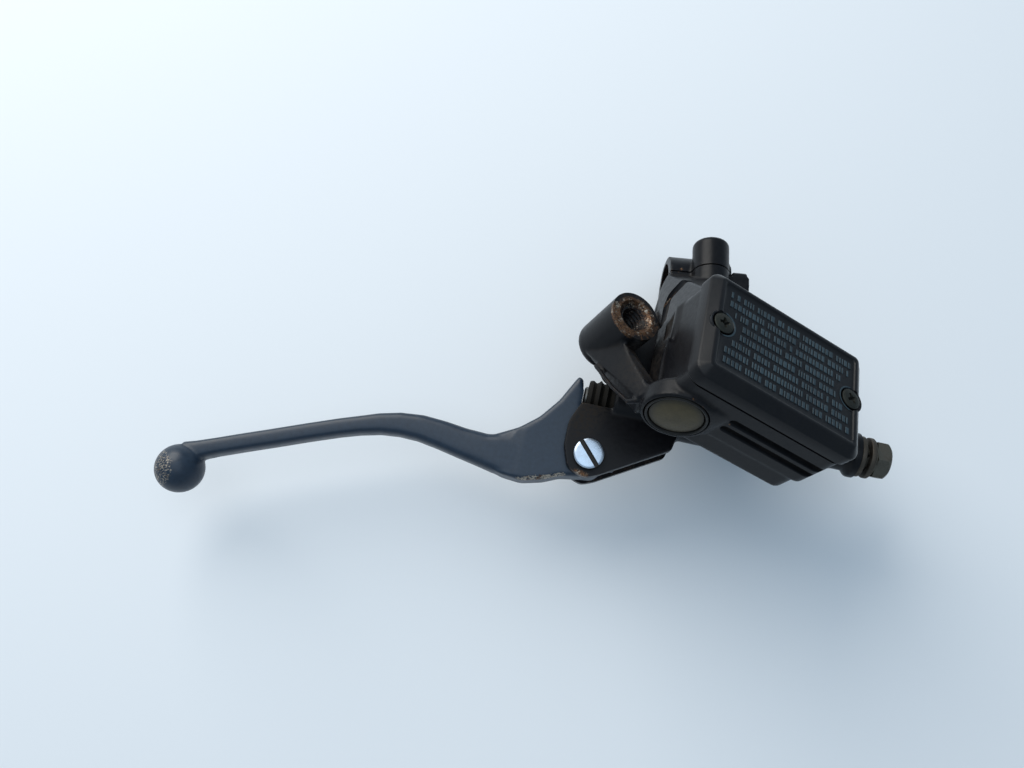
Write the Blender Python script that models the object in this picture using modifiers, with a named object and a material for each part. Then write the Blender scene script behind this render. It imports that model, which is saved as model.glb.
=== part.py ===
"""Front brake master cylinder for a motorcycle. A cast body with a slanted fluid reservoir clamps to
the handlebar, and a hinged hand lever pushes a sprung piston along its bore.

Lengths are written in millimetres and turned into metres as each shape is made. The origin is on the
handlebar's axis, midway along the clamp. +X runs inboard along the bore, +Z up the lever's pivot.
"""

import math

import bmesh
import bpy
from mathutils import Matrix, Vector

for old in list(bpy.data.objects):
    bpy.data.objects.remove(old, do_unlink=True)

MM = 0.001

# --- Driving dimensions, mm and degrees ----------------------------------------------------------

BAR_DIAMETER = 22.2
BAR_FROM_PIVOT = (35.2, 84.7, -8.7)
BAR_YAW = 6.7  # the handlebar against the bore, in the lever's plane
CLAMP_WIDTH = 33
CLAMP_LEAN = -7.7
HOLDER_END = 9.2  # inboard end of the holder, short of the body's half of the clamp
BOLT_PITCH = 34
BORE_DIAMETER = 14
BORE_OFFSET = 25.3  # bore axis from the pivot axis
BORE_BOTTOM = 78
CYLINDER_RADIUS = 12.8  # at its mouth, between the lever's plates
BARREL_RADIUS = 9.7  # inboard of them
NECK_RADIUS = 7.2
COLLAR_RADIUS = 9.2
UNION_FACE = 105.5
LEVER_THICKNESS = 12
PLATE_THICKNESS = 4
LEVER_GAP = 0.6
SQUARENESS = 0.62  # of the lever blade's section: 1 is an ellipse, 0 a box
TANK_LENGTH, TANK_DEPTH = 67, 47
TANK_TOP, TANK_STEP, TANK_FLOOR = -6.1, -25, -34.8
CAP_LENGTH, CAP_DEPTH, CAP_RADIUS = 70, 47, 4.8
CAP_SCREW = 28.6  # either side of the lid's middle
SIGHT_RADIUS = 14
GROOVE_HEIGHTS = (-13.3, -18.3)  # the front wall's two grooves, below the lid's top
MIRROR_THREAD = 10
MIRROR_RADIUS = 10
LEVER_BALL = 9.75
UNION_HEX = 14
GAP = 0.3  # left between pieces that touch


def shift(x, y, z):
    return Matrix.Translation(Vector((x, y, z)) * MM)


def turn(degrees, axis):
    return Matrix.Rotation(math.radians(degrees), 4, axis)


# Frames: a round feature is built about its frame's Z
PIVOT = shift(*(-v for v in BAR_FROM_PIVOT))
BORE = PIVOT @ shift(0, BORE_OFFSET, 0) @ turn(90, "Y")  # Z runs inboard along the bore
# X along the handlebar, Y out along the clamp bolts, Z across from bolt to bolt
CLAMP = turn(BAR_YAW, "Z") @ turn(CLAMP_LEAN, "X")
ALONG_BAR = CLAMP @ turn(90, "Y")
ACROSS_BAR = CLAMP @ turn(90, "Y") @ turn(90, "Z")  # an outline's X and Y become the clamp's Y and Z
BOLTS = [CLAMP @ shift(0, 0, side * BOLT_PITCH / 2) @ turn(-90, "X") for side in (1, -1)]
# X along the reservoir, Y towards the rider, Z out through the lid
TANK = PIVOT @ shift(58.6, 37.4, 53.4) @ turn(6.7, "Z") @ turn(-15.8, "X") @ turn(25.5, "Y") @ turn(-9.9, "Z")
CAP_SCREWS = [TANK @ shift(side * CAP_SCREW, 0, 0) for side in (-1, 1)]
MIRROR = TANK @ shift(-46.5, 11.7, -28)
SIGHT = TANK @ shift(-25.2, 0, -23.3) @ turn(90, "X")  # Z out through the front wall
WELL = PIVOT @ shift(40, BORE_OFFSET + 2.2, 0)  # the ports under the reservoir

assembly = bpy.data.collections.new("brake_master_cylinder")
helpers = bpy.data.collections.new("cutters")
for collection in (assembly, helpers):
    bpy.context.scene.collection.children.link(collection)


def principled(name, colour, roughness, metallic):
    material = bpy.data.materials.new(name)
    material.use_nodes = True
    shader = material.node_tree.nodes["Principled BSDF"]
    shader.inputs["Base Color"].default_value = (*colour, 1)
    shader.inputs["Roughness"].default_value = roughness
    shader.inputs["Metallic"].default_value = metallic
    return material


BLACK_PAINT = principled("black_paint", (0.012, 0.012, 0.014), 0.35, 0.0)
BLACK_LEVER = principled("black_lever", (0.014, 0.015, 0.018), 0.3, 0.0)
BLACK_PLASTIC = principled("black_plastic", (0.02, 0.02, 0.022), 0.45, 0.0)
BRIGHT_ZINC = principled("bright_zinc", (0.55, 0.58, 0.62), 0.3, 1.0)
DARK_STEEL = principled("dark_steel", (0.12, 0.12, 0.12), 0.5, 1.0)
ALUMINIUM = principled("aluminium", (0.6, 0.6, 0.6), 0.35, 1.0)
BRASS = principled("brass", (0.6, 0.42, 0.18), 0.35, 1.0)
COPPER = principled("copper", (0.35, 0.25, 0.12), 0.5, 1.0)
RUBBER = principled("rubber", (0.02, 0.02, 0.02), 0.8, 0.0)
LENS = principled("lens", (0.2, 0.16, 0.06), 0.2, 0.0)

# --- Modelling steps -----------------------------------------------------------------------------


def placed(name, mesh, frame, material=None, parent=None):
    """The mesh as an object: a part when it has a material, a helper when it has none."""
    obj = bpy.data.objects.new(name, mesh)
    if material:
        assembly.objects.link(obj)
        mesh.materials.clear()
        mesh.materials.append(material)
        mesh.shade_smooth()
        mesh.set_sharp_from_angle(angle=math.radians(32))
    else:
        helpers.objects.link(obj)
        obj.hide_render = True
        obj.display_type = "WIRE"
    if parent:
        obj.parent = parent
        obj.matrix_parent_inverse = parent.matrix_world.inverted()
    obj.matrix_basis = frame
    return obj


def evaluated_mesh(obj):
    """The object's mesh with its modifiers or its curve worked out, and its seams welded."""
    bpy.context.view_layer.update()
    graph = bpy.context.evaluated_depsgraph_get()
    mesh = bpy.data.meshes.new_from_object(obj.evaluated_get(graph))
    bm = bmesh.new()
    bm.from_mesh(mesh)
    bmesh.ops.remove_doubles(bm, verts=bm.verts, dist=2e-6)
    bmesh.ops.recalc_face_normals(bm, faces=bm.faces)
    bm.to_mesh(mesh)
    bm.free()
    return mesh


def baked(obj, frame, material, parent):
    """The draft object as a plain mesh in its place."""
    mesh = evaluated_mesh(obj)
    name = obj.name
    bpy.data.objects.remove(obj, do_unlink=True)
    return placed(name, mesh, frame, material, parent)


def turned(name, profile, frame, material=None, parent=None, steps=32):
    """A body turned about Z from (height, radius) points, top to bottom down the outer side."""
    mesh = bpy.data.meshes.new(name)
    points = [(radius * MM, 0, height * MM) for height, radius in profile]
    edges = [(i, i + 1) for i in range(len(points) - 1)]
    if profile[0][1] > 0:
        edges.append((len(points) - 1, 0))
    mesh.from_pydata(points, edges, [])
    draft = placed(name, mesh, Matrix.Identity(4))
    screw = draft.modifiers.new("turn", "SCREW")
    screw.steps = screw.render_steps = steps
    screw.use_merge_vertices = True
    screw.merge_threshold = 1e-6
    return baked(draft, frame, material, parent)


def rod(name, low, high, radius, frame, material=None, parent=None, steps=32, edge=0):
    """A cylinder between two heights, with chamfered rims if asked."""
    if edge:
        rim = [(high, radius - edge), (high - edge, radius), (low + edge, radius), (low, radius - edge)]
    else:
        rim = [(high, radius), (low, radius)]
    return turned(name, [(high, 0), *rim, (low, 0)], frame, material, parent, steps)


def rounded(corners, steps=5):
    """A closed outline from anticlockwise (x, y, radius) corners, each radius drawn as an arc."""
    points = []
    for i, (x, y, radius) in enumerate(corners):
        corner = Vector((x, y))
        if not radius:
            points.append(corner)
            continue
        back = (Vector(corners[i - 1][:2]) - corner).normalized()
        ahead = (Vector(corners[(i + 1) % len(corners)][:2]) - corner).normalized()
        half = back.angle(ahead) / 2
        centre = corner + (back + ahead).normalized() * (radius / math.sin(half))
        spoke = corner + back * (radius / math.tan(half)) - centre
        sweep = math.copysign(math.pi - 2 * half, back.x * ahead.y - back.y * ahead.x)
        for k in range(steps + 1):
            points.append(centre + Matrix.Rotation(-sweep * k / steps, 2) @ spoke)
    return points


def box_outline(width, depth, radius=0, centre=(0, 0), steps=5):
    x, y = centre
    signs = ((-1, -1), (1, -1), (1, 1), (-1, 1))
    return rounded([(x + sx * width / 2, y + sy * depth / 2, radius) for sx, sy in signs], steps)


def hexagon(across, phase=0):
    reach = across / math.sqrt(3)
    angles = [math.radians(60 * i + phase) for i in range(6)]
    return [Vector((reach * math.cos(a), reach * math.sin(a))) for a in angles]


def half_ring(radius, width, side, start, steps=20):
    """Half of a clamp's outline on one side of the parting plane, `start` away from it."""
    angles = [math.pi * i / steps for i in range(1, steps)]
    arc = [Vector((side * max(start, width * math.sin(a)), radius * math.cos(a))) for a in angles]
    return [Vector((side * start, radius)), *arc, Vector((side * start, -radius))]


def plate(name, outline, low, high, frame, material=None, parent=None):
    """A flat outline given a thickness between two heights."""
    curve = bpy.data.curves.new(name, "CURVE")
    curve.dimensions = "2D"
    curve.fill_mode = "BOTH"
    curve.extrude = (high - low) / 2 * MM
    spline = curve.splines.new("POLY")
    spline.points.add(len(outline) - 1)
    for point, (x, y) in zip(spline.points, outline):
        point.co = (x * MM, y * MM, 0, 1)
    spline.use_cyclic_u = True
    draft = bpy.data.objects.new(name, curve)
    helpers.objects.link(draft)
    return baked(draft, frame @ shift(0, 0, (low + high) / 2), material, parent)


def loft(name, sections, frame, material=None, parent=None):
    """A body through sections of equal count, each a ring of 3-D points, closed at both ends."""
    bm = bmesh.new()
    rings = [[bm.verts.new(Vector(point) * MM) for point in section] for section in sections]
    loops = [[bm.edges.new((ring[i - 1], ring[i])) for i in range(len(ring))] for ring in rings]
    for low, high in zip(loops, loops[1:]):
        bmesh.ops.bridge_loops(bm, edges=low + high)
    for ring in (rings[0], rings[-1]):
        bm.faces.new(ring)
    bmesh.ops.recalc_face_normals(bm, faces=bm.faces)
    mesh = bpy.data.meshes.new(name)
    bm.to_mesh(mesh)
    bm.free()
    return placed(name, mesh, frame, material, parent)


def stack(name, layers, frame, material=None, parent=None):
    """A loft straight up through (outline, height) layers."""
    sections = [[(x, y, height) for x, y in outline] for outline, height in layers]
    return loft(name, sections, frame, material, parent)


def hull(name, points):
    """The convex body around points given in the assembly's frame, in metres."""
    bm = bmesh.new()
    for point in points:
        bm.verts.new(point)
    found = bmesh.ops.convex_hull(bm, input=bm.verts)
    inside = {e for e in found["geom_interior"] + found["geom_unused"] if isinstance(e, bmesh.types.BMVert)}
    bmesh.ops.delete(bm, geom=list(inside), context="VERTS")
    bmesh.ops.recalc_face_normals(bm, faces=bm.faces)
    mesh = bpy.data.meshes.new(name)
    bm.to_mesh(mesh)
    bm.free()
    return placed(name, mesh, Matrix.Identity(4))


def at(frame, *points):
    """Points given in millimetres in a frame, for a hull."""
    return [frame @ (Vector(point) * MM) for point in points]


def ring_points(frame, radius, height, steps=24):
    angles = [2 * math.pi * i / steps for i in range(steps)]
    return at(frame, *((radius * math.cos(a), radius * math.sin(a), height) for a in angles))


def combine(target, others, operation):
    for other in others:
        modifier = target.modifiers.new(other.name, "BOOLEAN")
        modifier.operation = operation
        modifier.solver = "EXACT"
        modifier.object = other
    target.data = evaluated_mesh(target)
    target.modifiers.clear()
    for other in others:
        bpy.data.objects.remove(other, do_unlink=True)
    target.data.shade_smooth()
    target.data.set_sharp_from_angle(angle=math.radians(32))


def join(target, *others):
    combine(target, others, "UNION")


def cut(target, *others):
    combine(target, others, "DIFFERENCE")


def axis_empty(name, frame):
    """An empty on a joint's axis, which the pieces that move with it hang from."""
    empty = bpy.data.objects.new(name, None)
    assembly.objects.link(empty)
    empty.matrix_world = frame
    return empty


lever_axis = axis_empty("lever_axis", PIVOT)
piston_axis = axis_empty("piston_axis", BORE)
bpy.context.view_layer.update()

# --- The cast body -------------------------------------------------------------------------------


def lug_outline():
    """The clevis plates: rounded about the pivot, with a step where they meet the cylinder."""
    return rounded(
        [(31.5, 8.7, 2), (34, 20.3, 1), (-6.6, 20.3, 1.5), (-10.2, 12, 10), (-10.2, 2, 8),
         (-7.3, -6.5, 5), (0, -9.4, 6), (5.5, -7, 4)]
    )


def body_positive():
    """Everything that the casting is made of, before its holes."""
    slot = LEVER_THICKNESS / 2 + LEVER_GAP
    cheek = slot + PLATE_THICKNESS
    body = turned(
        "body",
        [(UNION_FACE, 0), (UNION_FACE, COLLAR_RADIUS - 0.7), (UNION_FACE - 0.7, COLLAR_RADIUS),
         (UNION_FACE - 2.4, COLLAR_RADIUS), (UNION_FACE - 4, NECK_RADIUS), (97, NECK_RADIUS),
         (89, BARREL_RADIUS), (35, BARREL_RADIUS), (31, CYLINDER_RADIUS), (6.7, CYLINDER_RADIUS),
         (6, CYLINDER_RADIUS - 0.7), (6, 0)],
        BORE, BLACK_PAINT, steps=40,
    )
    tank_top = stack(
        "tank_top",
        [(box_outline(TANK_LENGTH - 1.4, TANK_DEPTH - 1.4, 4.2), TANK_STEP - 0.7),
         (box_outline(TANK_LENGTH, TANK_DEPTH, 4.8), TANK_STEP),
         (box_outline(TANK_LENGTH, TANK_DEPTH, 4.8), TANK_TOP)],
        TANK,
    )
    tank_low = stack(
        "tank_low",
        [(box_outline(62.5, 43.5, 4, (-1, -0.5)), TANK_FLOOR),
         (box_outline(64.5, 45.5, 5, (-1, -0.5)), TANK_FLOOR + 1.2),
         (box_outline(64.5, 45.5, 5, (-1, -0.5)), -20)],
        TANK,
    )
    sight_boss = rod("sight_boss", 17.5, 25.2, SIGHT_RADIUS, SIGHT, steps=40, edge=0.8)
    mirror_boss = turned(
        "mirror_boss",
        [(0, 0), (0, MIRROR_RADIUS - 0.7), (-0.8, MIRROR_RADIUS), (-23.5, MIRROR_RADIUS),
         (-26, MIRROR_RADIUS - 1.1), (-27, MIRROR_RADIUS - 3.5), (-27, 0)],
        MIRROR, steps=40,
    )
    # The outboard wall between the mirror boss and the sight glass
    flank = hull(
        "flank",
        at(TANK, (-54.5, 6.5, -52), (-47, 2.2, -33.5), (-43, 3.5, -34), (-43, 8, -54), (-37.4, -21.5, -22.5),
           (-39.2, -22.5, -27), (-35, -23.8, -34.5), (-33.2, -16.5, -25), (-31, -20.5, -36.5)),
    )
    # Blends the sight glass's boss into the front wall
    sight_blend = hull(
        "sight_blend",
        ring_points(SIGHT, 13, 24.8) + at(TANK, *((x, -23.3, z) for x in (-10, -22) for z in (-12, -24.8))),
    )
    pocket_floor = plate(
        "pocket_floor",
        rounded([(0, 31, 2), (14, 22, 2), (44, 22, 4), (46, 62, 4), (18, 64, 5), (-4, 47, 5), (-6, 39, 4)]),
        8, 17, PIVOT,
    )
    # Carries the reservoir on the cylinder
    riser = hull(
        "riser",
        ring_points(WELL, 10.6, 2) + ring_points(WELL @ shift(2, 0.5, 0), 12.6, 32)
        + at(PIVOT, (70, 17, 2), (70, 36, 2), (68, 18, 20), (68, 38, 20)),
    )
    # Widens from the clamp towards the cylinder, and leans outboard towards the reservoir
    half = CLAMP_WIDTH / 2
    rim = [(-17.5, -1.5, 15), (-20, -8, 17), (-21.5, -15, 18)]
    arm = hull(
        "arm",
        at(CLAMP, *rim, (-half, -13, -13), (-half, -4, -16), (half, -13, -13), (half, -4, -16),
           (half, -13, 14), (half, -4, 16))
        + at(PIVOT, (13, 44, 16), (13, 40, -5), (52, 40, 14), (52, 36, -7),
             (16, 28, 13), (14, 27, -6), (48, 30, -8), (48, 30, 10)),
    )
    # The web from the clamp up to the reservoir's outboard wall
    gusset = hull(
        "gusset",
        at(CLAMP, *rim, (-22.5, -24, 18), (4, -1.5, 16), (4, -24, 16))
        + at(TANK, (-34.3, 3, -21), (-34.3, 19, -20.5), (-31, 24, -10), (-18, 23.4, -9), (-20, 5, -30)),
    )
    saddle = plate("saddle", half_ring(16.6, 16.6, -1, GAP), -half, half, ACROSS_BAR)
    # The body's own end of the clamp, inboard of the holder
    clamp_lug = plate(
        "clamp_lug", box_outline(6.4, 5, 1.2, (-1.4, 13.8)), HOLDER_END + GAP, half - 0.5, ACROSS_BAR
    )
    bosses = [rod("bolt_boss", -14, -GAP, 7.6, frame) for frame in BOLTS]
    cheeks = [plate("cheek", lug_outline(), *ends, PIVOT) for ends in ((slot, cheek), (-cheek, -slot))]
    # Closes the clevis behind the lever
    web_outline = [(9.4, 4.2, 1), (16, 4.2, 1), (30, 11, 1), (30, 18, 1), (9.4, 18, 1)]
    web = plate("lug_web", rounded(web_outline, 3), -8, 8, PIVOT)
    join(body, web, *cheeks, riser, arm, gusset, pocket_floor)
    join(body, tank_low, tank_top, sight_boss, sight_blend, flank, mirror_boss)
    join(body, saddle, clamp_lug, *bosses)
    return body


def bore_cutter():
    """From the mouth inwards: boot seat, circlip groove, bore, outlet passage and hose thread."""
    wall = BORE_DIAMETER / 2
    return turned(
        "bore",
        [(UNION_FACE + 1.2, 0), (UNION_FACE + 1.2, 6.2), (UNION_FACE - 0.3, 5), (93, 5), (91, 1.6),
         (BORE_BOTTOM + 2.5, 1.6), (BORE_BOTTOM, wall), (15.2, wall), (15.2, 8.3), (13.9, 8.3),
         (13.9, 9.3), (12.3, 9.3), (12.3, 8.3), (11.2, 8.3), (11.2, 10.4), (5, 10.4), (5, 0)],
        BORE,
    )


def tank_cutter():
    """The reservoir's inside, less the two pillars that take the lid's screws."""
    layers = [(box_outline(56, 35, 5), -30), (box_outline(60, 39, 6), -26.5), (box_outline(60, 39, 6), -5)]
    cavity = stack("cavity", layers, TANK)
    cut(cavity, *[rod("pillar", -32, 0, 4.6, frame, steps=20) for frame in CAP_SCREWS])
    return cavity


def make_body():
    body = body_positive()
    cut(body, tank_cutter())
    cut(body, bore_cutter())
    cut(body, rod("well", 10.6, 36, 8.6, WELL))
    cut(
        body,
        rod("inlet", 0, 14, 1.6, WELL @ shift(-5.5, 0, 0), steps=12),
        rod("compensating", 0, 14, 0.7, WELL @ shift(6.5, 0, 0), steps=10),
        *[rod("screw_hole", -19, -5, 2.2, frame, steps=16) for frame in CAP_SCREWS],
    )
    sight_profile = [(26.5, 0), (26.5, 11.5), (22.2, 11.5), (22.2, 6.8), (15, 6.8), (15, 0)]
    cut(body, turned("sight_hole", sight_profile, SIGHT, steps=36))
    for height in GROOVE_HEIGHTS:
        groove = TANK @ shift(0, 0, height) @ turn(90, "X")
        cut(body, plate("groove", box_outline(41, 2.2, 1.08, (11, 0)), 21.6, 25, groove))
    thread = MIRROR_THREAD / 2
    mirror_profile = [(0.5, 0), (0.5, thread + 1.6), (-1.1, thread), (-22, thread), (-22, 0)]
    cut(
        body,
        turned("mirror_hole", mirror_profile, MIRROR),
        rod("bar", -30, 30, BAR_DIAMETER / 2, ALONG_BAR, steps=48),
        *[rod("clamp_hole", -12, 1, 3.25, frame, steps=16) for frame in BOLTS],
        rod("pivot_hole", -12, 12, 4, PIVOT, steps=24),
    )
    return body


# --- Handlebar clamp -----------------------------------------------------------------------------


def make_clamp():
    half = CLAMP_WIDTH / 2
    holder = plate("holder", half_ring(16.4, 13.4, 1, GAP), -half, HOLDER_END, ACROSS_BAR, BLACK_PAINT)
    boss = [(14, 0), (14, 6.3), (13.5, 7.1), (12.3, 7.6), (GAP, 7.6), (GAP, 0)]
    join(holder, *[turned("boss", boss, frame) for frame in BOLTS])
    cut(holder, rod("bar", -30, 30, BAR_DIAMETER / 2, ALONG_BAR, steps=48))
    recess = [(15, 0), (15, 5.45), (7.5, 5.45), (7.5, 3.3), (-1, 3.3), (-1, 0)]
    cut(holder, *[turned("bolt_hole", recess, frame, steps=24) for frame in BOLTS])
    for name, frame in zip(("clamp_bolt_upper", "clamp_bolt_lower"), BOLTS):
        shape = [(13.6, 0), (13.6, 4.6), (13.2, 5), (7.8, 5), (7.8, 2.95), (-9.8, 2.95), (-10.5, 2.3),
                 (-10.5, 0)]
        bolt = turned(name, shape, frame, DARK_STEEL, steps=24)
        cut(bolt, plate("key", hexagon(5), 10.4, 15, frame))


# --- Lid, plate and diaphragm --------------------------------------------------------------------


def make_lid():
    cap = stack(
        "cap",
        [(box_outline(CAP_LENGTH - 0.6, CAP_DEPTH - 0.6, CAP_RADIUS), -5.8),
         (box_outline(CAP_LENGTH, CAP_DEPTH, CAP_RADIUS + 0.3), -5.4),
         (box_outline(CAP_LENGTH, CAP_DEPTH, CAP_RADIUS + 0.3), -0.3),
         (box_outline(CAP_LENGTH - 0.8, CAP_DEPTH - 0.8, CAP_RADIUS), 0.3),
         (box_outline(CAP_LENGTH - 6.6, CAP_DEPTH - 6.6, CAP_RADIUS - 2.4), 2.5),
         (box_outline(CAP_LENGTH - 7.4, CAP_DEPTH - 7.4, CAP_RADIUS - 2.6), 2.8)],
        TANK, BLACK_PLASTIC,
    )
    room = plate("room", box_outline(64.6, 41.6, 5), -7, -0.2, TANK)
    cut(room, *[rod("seat", -2.6, 1, 5.2, frame, steps=24) for frame in CAP_SCREWS])
    cut(cap, room)
    cut(cap, plate("panel", box_outline(60.2, 37.2, 3.4), 2.35, 4, TANK))
    sink = [(4, 0), (4, 4.5), (2.35, 4.5), (0.1, 2.3), (-7, 2.3), (-7, 0)]
    cut(cap, *[turned("sink", sink, frame, steps=24) for frame in CAP_SCREWS])
    for name, frame in zip(("cap_screw_outer", "cap_screw_inner"), CAP_SCREWS):
        shape = [(3.1, 0), (3.05, 2.4), (2.75, 3.9), (2.45, 4.05), (0.3, 1.85), (-16.4, 1.85),
                 (-17, 1.2), (-17, 0)]
        screw = turned(name, shape, frame, ALUMINIUM, steps=24)
        cut(screw, *[plate("cross", box_outline(*size), 1.5, 4, frame) for size in ((4.2, 0.9), (0.9, 4.2))])


def make_seal():
    """The lid's plastic pressure plate and the rubber diaphragm below it."""
    pressure_plate = plate("diaphragm_plate", box_outline(62.4, 39.4, 4.5), -4.1, -3, TANK, BLACK_PLASTIC)
    cut(pressure_plate, plate("vent", box_outline(40, 19, 4), -5, -2, TANK))
    cut(pressure_plate, *[rod("hole", -5, -2, 2.7, frame, steps=20) for frame in CAP_SCREWS])
    diaphragm = plate("diaphragm", box_outline(63, 40, 4.8), -5.8, -4.4, TANK, RUBBER)
    pan = [(box_outline(44, 29, 4), -17), (box_outline(46, 31, 5), -16.2), (box_outline(47, 32, 5), -5)]
    join(diaphragm, stack("pan", pan, TANK))
    room = [(box_outline(41.6, 26.6, 3.4), -15.8), (box_outline(44.4, 29.4, 4), -4)]
    cut(diaphragm, stack("room", room, TANK))
    cut(diaphragm, *[rod("hole", -7, -3, 2.7, frame, steps=20) for frame in CAP_SCREWS])


def make_tank_fittings():
    baffle = turned(
        "port_baffle",
        [(16.2, 0.8), (16.2, 8.2), (12, 8.2), (12, 6), (15.2, 6), (15.2, 0.8)],
        WELL, BLACK_PLASTIC, steps=28,
    )
    cut(baffle, *[plate("slot", box_outline(3, 20), 11, 14.2, WELL @ turn(angle, "Z")) for angle in (0, 90)])
    turned(
        "sight_lens",
        [(26.3, 0), (26.2, 3.4), (25.9, 6.4), (25.4, 8.6), (24.6, 9.6), (22.5, 9.6), (22.5, 0)],
        SIGHT, LENS,
    )
    turned(
        "sight_ring",
        [(25.1, 9.95), (25.5, 10.3), (25.5, 10.9), (24.9, 11.2), (22.5, 11.2), (22.5, 9.95)],
        SIGHT, BLACK_PLASTIC, steps=36,
    )


# --- Lever ---------------------------------------------------------------------------------------


def inset(outline, by):
    """An anticlockwise outline moved inwards."""
    result = []
    for i, here in enumerate(outline):
        back = (here - outline[i - 1]).normalized()
        ahead = (outline[(i + 1) % len(outline)] - here).normalized()
        inward = Vector((-back.y - ahead.y, back.x + ahead.x)).normalized()
        result.append(here + inward * by)
    return result


def blade_section(x, y, along, half_width, half_height):
    """A rounded-square ring across the blade."""
    side = Vector((-along.y, along.x))
    ring = []
    for k in range(20):
        c, s = math.cos(math.pi * k / 10), math.sin(math.pi * k / 10)
        across = half_width * math.copysign(abs(c) ** SQUARENESS, c)
        height = half_height * math.copysign(abs(s) ** SQUARENESS, s)
        ring.append((x + side.x * across, y + side.y * across, height))
    return ring


def make_lever():
    root = rounded(
        [(-38, -12.5, 0), (-32, -14.2, 0), (-24, -14.9, 0), (-15.5, -12.7, 0), (-9, -9.7, 4), (-3, -8.6, 4),
         (4.2, -7.6, 5), (8.4, -2.6, 1), (12, -2.6, 0.8), (12, 3.7, 0.8), (8.4, 3.7, 1), (6, 6.2, 4),
         (-1.2, 9, 4), (-4.6, 14.5, 4), (-6.4, 20, 4), (-6.6, 26, 4), (-7.5, 31, 2), (-9.4, 32.4, 1),
         (-10.8, 30, 2), (-15.5, 20.6, 6), (-21.8, 12.2, 8), (-28.8, 6.2, 10), (-38, 1.2, 0)],
        4,
    )
    top = LEVER_THICKNESS / 2
    layers = [(inset(root, 1), -top), (root, 1 - top), (root, top - 1), (inset(root, 1), top)]
    lever = stack("lever", layers, PIVOT, BLACK_LEVER, lever_axis)
    # x, y, half width and half height down the blade
    stations = [
        (-30, -6, 8.3, 5.8), (-36, -5.8, 7.7, 5.7), (-41, -5.7, 6.8, 5.6), (-50, -4.7, 6.1, 5.4),
        (-59, -3.3, 5.75, 5.3), (-68, -2.4, 5.3, 5.2), (-76.5, -2.8, 4.75, 5.1), (-84.5, -4.3, 4.15, 5),
        (-92.5, -6.8, 3.7, 4.9), (-100.5, -9.6, 3.6, 4.8), (-112, -14.1, 3.55, 4.8),
        (-124, -19, 3.55, 4.8), (-136, -23.8, 3.55, 4.8), (-146, -27.9, 3.55, 4.8),
        (-153, -30.9, 3.8, 4.8), (-158, -32.6, 3.9, 4.8),
    ]
    sections = []
    for i, (x, y, half_width, half_height) in enumerate(stations):
        before, after = stations[max(i - 1, 0)], stations[min(i + 1, len(stations) - 1)]
        along = Vector((after[0] - before[0], after[1] - before[1])).normalized()
        sections.append(blade_section(x, y, along, half_width, half_height))
    arc = [math.pi * i / 14 for i in range(1, 14)]
    profile = [(LEVER_BALL * math.cos(a), LEVER_BALL * math.sin(a)) for a in arc]
    profile = [(LEVER_BALL, 0), *profile, (-LEVER_BALL, 0)]
    ball = turned("ball", profile, PIVOT @ shift(-158.3, -39.4, 0), steps=28)
    join(lever, loft("blade", sections, PIVOT), ball)
    cut(lever, rod("pivot_hole", -8, 8, 5.35, PIVOT, steps=28))
    bush = [(6.1, 3.95), (6.1, 5.05), (-6.1, 5.05), (-6.1, 3.95)]
    turned("pivot_bush", bush, PIVOT, BRASS, lever_axis, steps=28)


def make_pivot():
    bolt = turned(
        "pivot_bolt",
        [(13.65, 0), (13.6, 3), (13.4, 5), (12.7, 6), (11.3, 6), (10.9, 5.7), (10.9, 3.65), (-10, 3.65),
         (-10.7, 2.9), (-17.9, 2.9), (-18.5, 2.4), (-18.5, 0)],
        PIVOT, BRIGHT_ZINC,
    )
    cut(bolt, plate("slot", box_outline(14, 1.7), 12.2, 15, PIVOT @ turn(-48, "Z")))
    nut = plate("pivot_nut", hexagon(10), -16.4, -11, PIVOT, BRIGHT_ZINC)
    cut(nut, rod("hole", -20, -5, 3.3, PIVOT, steps=24))


# --- Inside the bore -----------------------------------------------------------------------------


def make_piston():
    turned(
        "piston",
        [(45.4, 0), (45.4, 2.6), (45, 3), (40.6, 3), (40.6, 6.7), (38, 6.7), (38, 3.4), (26, 3.4),
         (26, 6.7), (23.6, 6.7), (23.6, 4.2), (19.2, 4.2), (19.2, 6.7), (15.7, 6.7), (15.3, 6.3),
         (15.3, 4.4), (-3.1, 4.4), (-3.1, 3.5), (-4.9, 3.5), (-4.9, 4.3), (-5.6, 4.3), (-6.2, 3.6),
         (-6.2, 0)],
        BORE, ALUMINIUM, piston_axis,
    )
    turned(
        "secondary_cup",
        [(23.3, 6.2), (23.3, 6.85), (22.6, 6.85), (19.5, 6.6), (19.5, 4.5), (21, 4.5), (21, 5.6)],
        BORE, RUBBER, piston_axis, steps=28,
    )
    turned(
        "primary_cup",
        [(45.2, 6.2), (45.2, 6.85), (44.6, 6.85), (40.9, 6.6), (40.9, 3.3), (42.6, 3.3), (42.6, 5.4)],
        BORE, RUBBER, piston_axis, steps=28,
    )


def make_bore_fittings():
    turned("stop_washer", [(14.95, 4.75), (14.95, 8), (14, 8), (14, 4.75)], BORE, BRIGHT_ZINC, steps=28)
    circlip = turned("circlip", [(13.6, 6.6), (13.6, 9), (12.6, 9), (12.6, 6.6)], BORE, DARK_STEEL)
    opening = [Vector(point) for point in ((0, -2.2), (14, -5), (14, 5), (0, 2.2))]
    cut(circlip, plate("gap", opening, 10, 16, BORE))
    turned(
        "dust_boot",
        [(10.8, 7.4), (10.8, 10.1), (6.6, 10.1), (6.2, 8), (4.6, 6.6), (3, 8), (1.4, 6.6), (-0.2, 8),
         (-1.8, 6.4), (-3.2, 7.3), (-4.7, 6.7), (-4.7, 3.85), (-3.5, 3.85), (-3.4, 6), (-1.8, 5.5),
         (-0.2, 7.1), (1.4, 5.7), (3, 7.1), (4.6, 5.7), (6.4, 7.1)],
        BORE, RUBBER,
    )


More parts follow.
